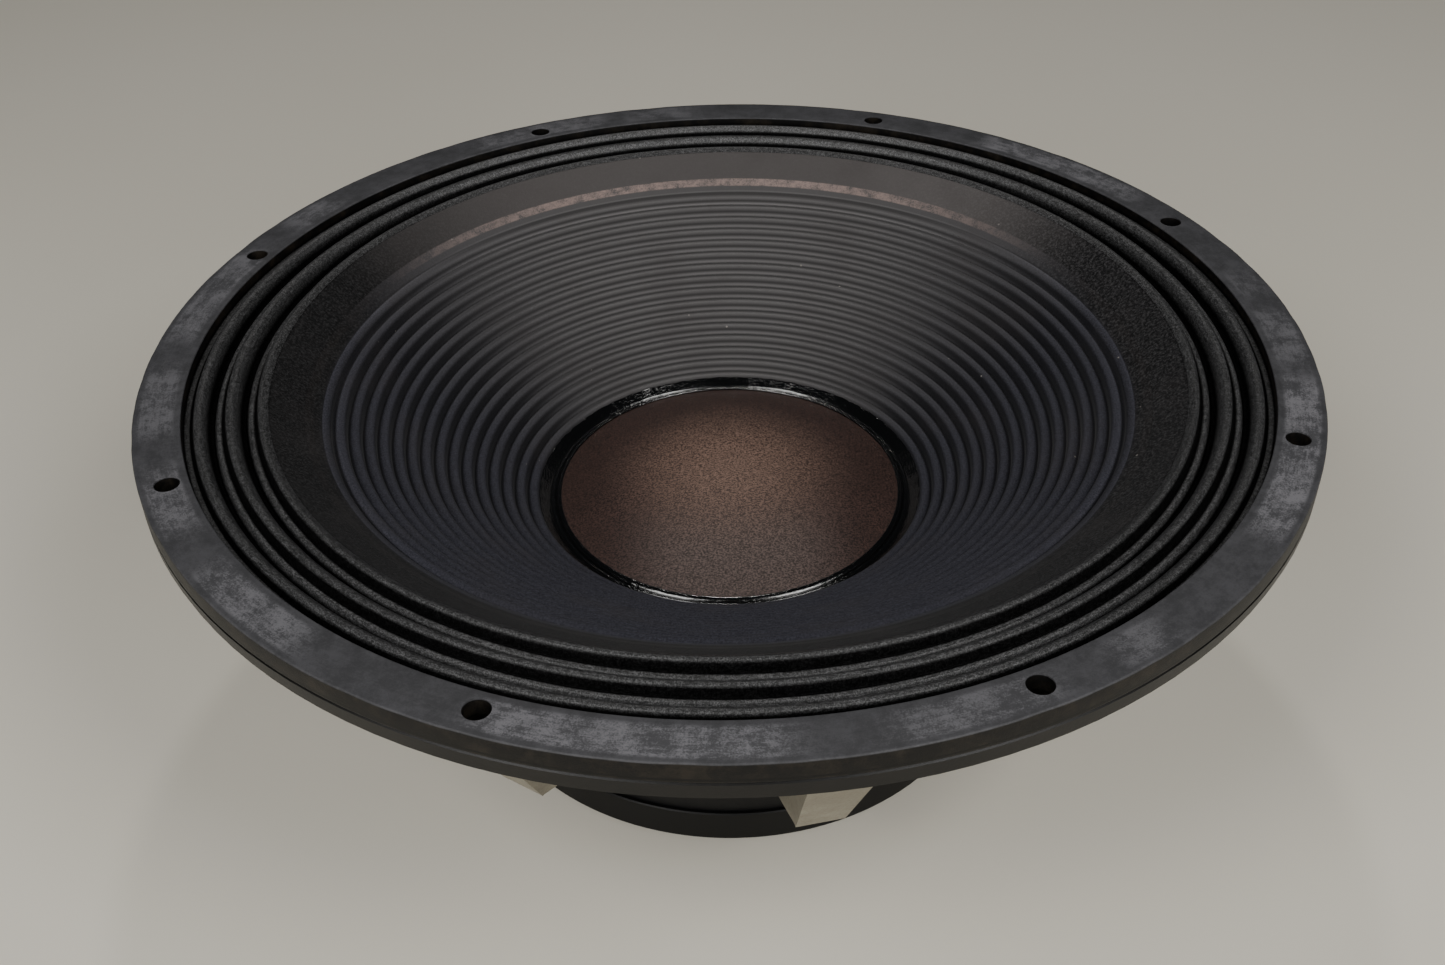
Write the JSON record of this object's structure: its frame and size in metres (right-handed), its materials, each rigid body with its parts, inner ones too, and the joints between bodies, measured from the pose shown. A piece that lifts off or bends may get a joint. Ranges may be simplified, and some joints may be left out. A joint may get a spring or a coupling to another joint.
{
  "type": "loudspeaker driver",
  "caption": "Round bass loudspeaker driver with a rubber gasket, ribbed paper cone, open cast frame, ferrite motor and push terminals.",
  "frame": {"origin": "centre of the bolt circle on the rear face of the mounting flange", "axes": "+Z out of the cone, +X halfway between two bolt holes, +Y away from the side seen first"},
  "size_m": [0.4599, 0.46, 0.1705],
  "materials": {
    "cast_aluminium": "bare sand-toned casting, black paint on the flange",
    "gasket_rubber": "matt black, dusty",
    "surround_cloth": "treated black cloth with a dull sheen",
    "spider_cloth": "resin-stiffened cloth",
    "spacer_board": "dense fibre board",
    "cone_paper": "pressed charcoal paper pulp",
    "cap_paper": "brown felted paper",
    "adhesive": "glossy black adhesive",
    "former_film": "amber film",
    "copper_wire": "enamelled copper wire",
    "collar_paper": "kraft paper",
    "tag_brass": "tinned brass",
    "motor_steel": "black phosphated low-carbon steel",
    "ferrite": "sintered ferrite, ground faces",
    "ring_aluminium": "turned",
    "screen_wire": "woven wire",
    "boot_rubber": "satin black moulding",
    "screw_steel": "black oxide",
    "terminal_board": "glass-filled board",
    "terminal_black": "moulded black",
    "button_red": "moulded red",
    "button_black": "moulded black",
    "spring_steel": "spring wire",
    "lead_braid": "tinned copper braid"
  },
  "bodies": {
    "frame": {"basket_frame": "cast_aluminium", "front_gasket": "gasket_rubber", "surround": "surround_cloth", "upper_spider": "spider_cloth", "lower_spider": "spider_cloth", "spider_spacer_ring": "spacer_board", "top_plate": "motor_steel", "ferrite_magnet": "ferrite", "yoke_and_pole": "motor_steel", "shorting_ring": "ring_aluminium", "vent_screen": "screen_wire", "magnet_boot": "boot_rubber", "frame_screws": "screw_steel", "terminal_plate": "terminal_board", "terminal_plate_screws": "screw_steel", "red_terminal_body": "terminal_black", "black_terminal_body": "terminal_black", "red_button_spring": "spring_steel", "black_button_spring": "spring_steel", "red_terminal_tag": "tag_brass", "black_terminal_tag": "tag_brass", "red_tinsel_lead": "lead_braid", "black_tinsel_lead": "lead_braid"},
    "cone_assembly": {"paper_cone": "cone_paper", "dust_cap": "cap_paper", "dust_cap_glue": "adhesive", "voice_coil_former": "former_film", "voice_coil_winding": "copper_wire", "former_collar": "collar_paper", "neck_glue": "adhesive", "coil_tags": "tag_brass"},
    "red_button": {"red_button": "button_red"},
    "black_button": {"black_button": "button_black"}
  },
  "joints": [
    {"name": "cone_travel", "type": "slide", "parent": "frame", "child": "cone_assembly", "axis": [0, 0, 1], "range_m": [-0.009, 0.009], "stiffness_N_per_m": 6000, "springref_m": 0.0005, "deforming": ["surround", "upper_spider", "lower_spider", "red_tinsel_lead", "black_tinsel_lead"]},
    {"name": "red_button_press", "type": "slide", "parent": "frame", "child": "red_button", "axis": [-0.2164, -0.9763, 0], "range_m": [0, 0.0035], "stiffness_N_per_m": 600, "springref_m": -0.001, "deforming": ["red_button_spring"]},
    {"name": "black_button_press", "type": "slide", "parent": "frame", "child": "black_button", "axis": [-0.2164, -0.9763, 0], "range_m": [0, 0.0035], "stiffness_N_per_m": 600, "springref_m": -0.001, "deforming": ["black_button_spring"]}
  ]
}
